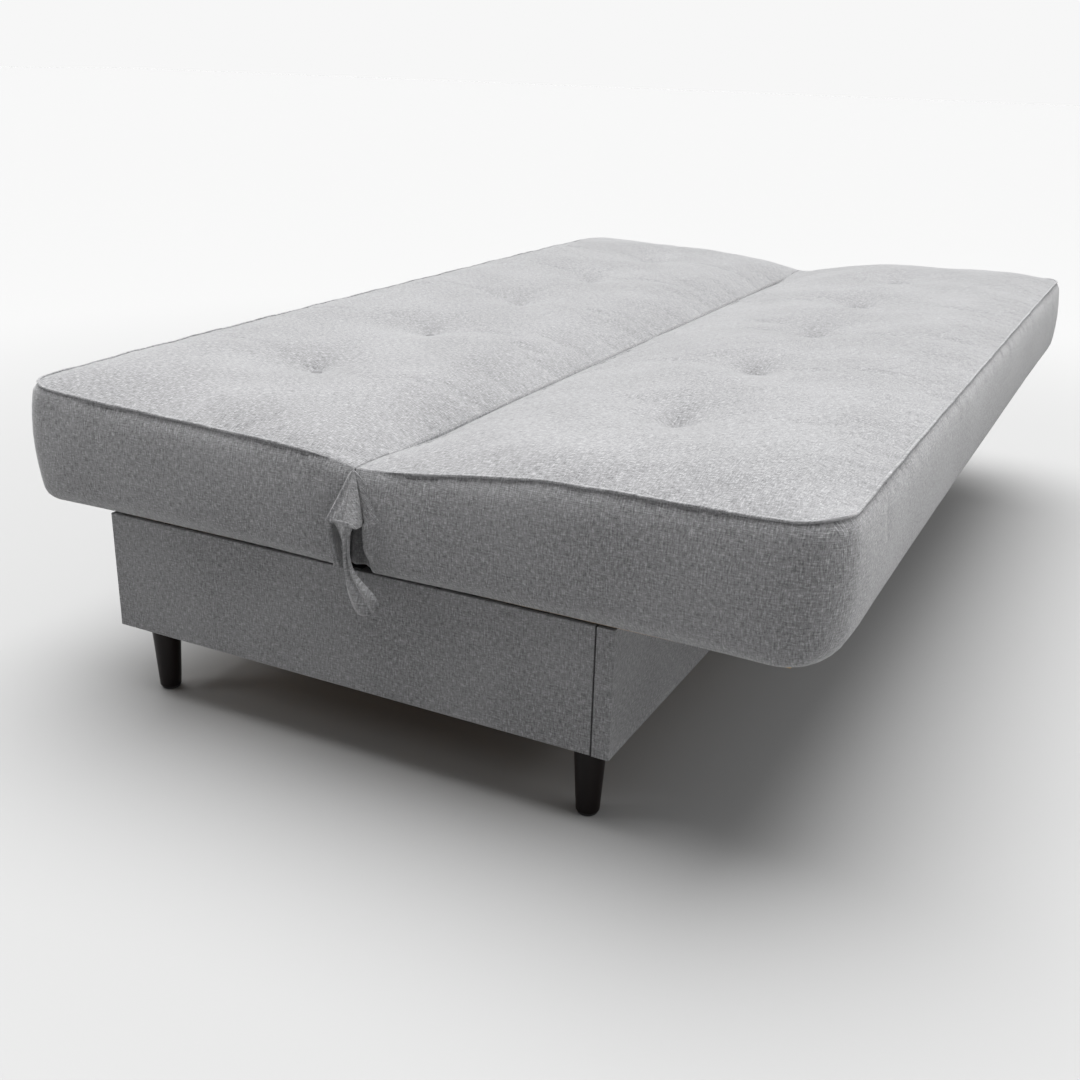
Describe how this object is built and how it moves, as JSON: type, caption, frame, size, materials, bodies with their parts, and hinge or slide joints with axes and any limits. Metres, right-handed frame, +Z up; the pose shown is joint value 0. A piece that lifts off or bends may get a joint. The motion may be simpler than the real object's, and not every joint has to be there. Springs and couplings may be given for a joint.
{
  "type": "sofa bed",
  "caption": "Sprung sofa bed in two tufted sections that click-fold over a bedding box, shown flat as a bed on conical legs.",
  "frame": {"origin": "on the floor under the middle of the bed", "axes": "+X along the bed, -Y towards the seat's front edge, +Z up"},
  "size_m": [2.088, 1.218, 0.4908],
  "materials": {
    "melange_cloth": "coarse grey melange weave with slubs",
    "button_cloth": "the same cloth over a tuft button",
    "foam": "polyurethane foam",
    "nonwoven": "black spunbond",
    "dark_leg": "dark stained, satin lacquer",
    "pine": "sawn softwood",
    "particle_board": "raw particle board",
    "hardboard": "smooth brown hardboard",
    "glide_plastic": "moulded nylon",
    "pad_rubber": "dull",
    "spring_wire": "oiled spring wire",
    "zinc_steel": "zinc plated",
    "mechanism_steel": "black powder coat"
  },
  "bodies": {
    "base": {"front_board": "particle_board", "rear_board": "particle_board", "end_board_left": "particle_board", "end_board_right": "particle_board", "floor_panel": "hardboard", "floor_bearers": "pine", "corner_blocks": "pine", "tee_nuts": "zinc_steel", "leg_front_left": "dark_leg", "leg_front_right": "dark_leg", "leg_rear_left": "dark_leg", "leg_rear_right": "dark_leg", "leg_bolts": "zinc_steel", "leg_glides": "glide_plastic", "front_board_cover": "melange_cloth", "end_cover_left": "melange_cloth", "end_cover_right": "melange_cloth", "rear_cover": "melange_cloth", "base_plate_left": "mechanism_steel", "base_plate_right": "mechanism_steel", "base_plate_bolts": "zinc_steel", "lower_link_pins": "zinc_steel", "rest_pads": "pad_rubber", "assist_spring_left": "spring_wire", "assist_spring_right": "spring_wire"},
    "front_links": {"front_link_left": "mechanism_steel", "front_link_right": "mechanism_steel"},
    "rear_links": {"rear_link_left": "mechanism_steel", "rear_link_right": "mechanism_steel"},
    "carriage": {"carrier_left": "mechanism_steel", "carrier_right": "mechanism_steel", "upper_link_pins": "zinc_steel", "main_pivot_pins": "zinc_steel", "gusset_left": "melange_cloth", "gusset_right": "melange_cloth"},
    "seat": {"seat_long_rails": "pine", "seat_end_rails": "pine", "seat_cross_rails": "pine", "seat_springs": "spring_wire", "seat_foam": "foam", "seat_cover": "melange_cloth", "seat_base_cloth": "nonwoven", "seat_buttons": "button_cloth", "seat_hinge_arm_left": "mechanism_steel", "seat_hinge_arm_right": "mechanism_steel", "seat_arm_bolts": "zinc_steel"},
    "back": {"back_long_rails": "pine", "back_end_rails": "pine", "back_cross_rails": "pine", "back_springs": "spring_wire", "back_foam": "foam", "back_cover": "melange_cloth", "back_base_cloth": "nonwoven", "back_buttons": "button_cloth", "back_hinge_arm_left": "mechanism_steel", "back_hinge_arm_right": "mechanism_steel", "back_arm_bolts": "zinc_steel"},
    "pawls": {"pawl_left": "mechanism_steel", "pawl_right": "mechanism_steel"}
  },
  "joints": [
    {"name": "carriage_swing", "type": "hinge", "parent": "base", "child": "rear_links", "pos_m": [0, 0.06, 0.175], "axis": [-1, 0, 0], "range_deg": [0, 100.39], "deforming": ["assist_spring_left", "assist_spring_right"]},
    {"name": "front_link_swing", "type": "hinge", "parent": "base", "child": "front_links", "pos_m": [0, -0.13, 0.175], "axis": [-1, 0, 0], "range_deg": [0, 100.39]},
    {"name": "carriage_level", "type": "hinge", "parent": "rear_links", "child": "carriage", "pos_m": [0, -0.06, 0.275], "axis": [1, 0, 0], "range_deg": [0, 100.39]},
    {"name": "seat_lift", "type": "hinge", "parent": "carriage", "child": "seat", "pos_m": [0, 0.025, 0.411], "axis": [-1, 0, 0], "range_deg": [0, 30]},
    {"name": "back_fold", "type": "hinge", "parent": "carriage", "child": "back", "pos_m": [0, 0.025, 0.411], "axis": [1, 0, 0], "range_deg": [0, 90]},
    {"name": "pawl_engage", "type": "hinge", "parent": "seat", "child": "pawls", "pos_m": [0, -0.021, 0.411], "axis": [1, 0, 0], "range_deg": [0, 8], "stiffness_Nm_per_rad": 0.05}
  ],
  "couplings": [
    {"joint": "front_link_swing", "follows": "carriage_swing", "ratio": 1},
    {"joint": "carriage_level", "follows": "carriage_swing", "ratio": 1}
  ]
}
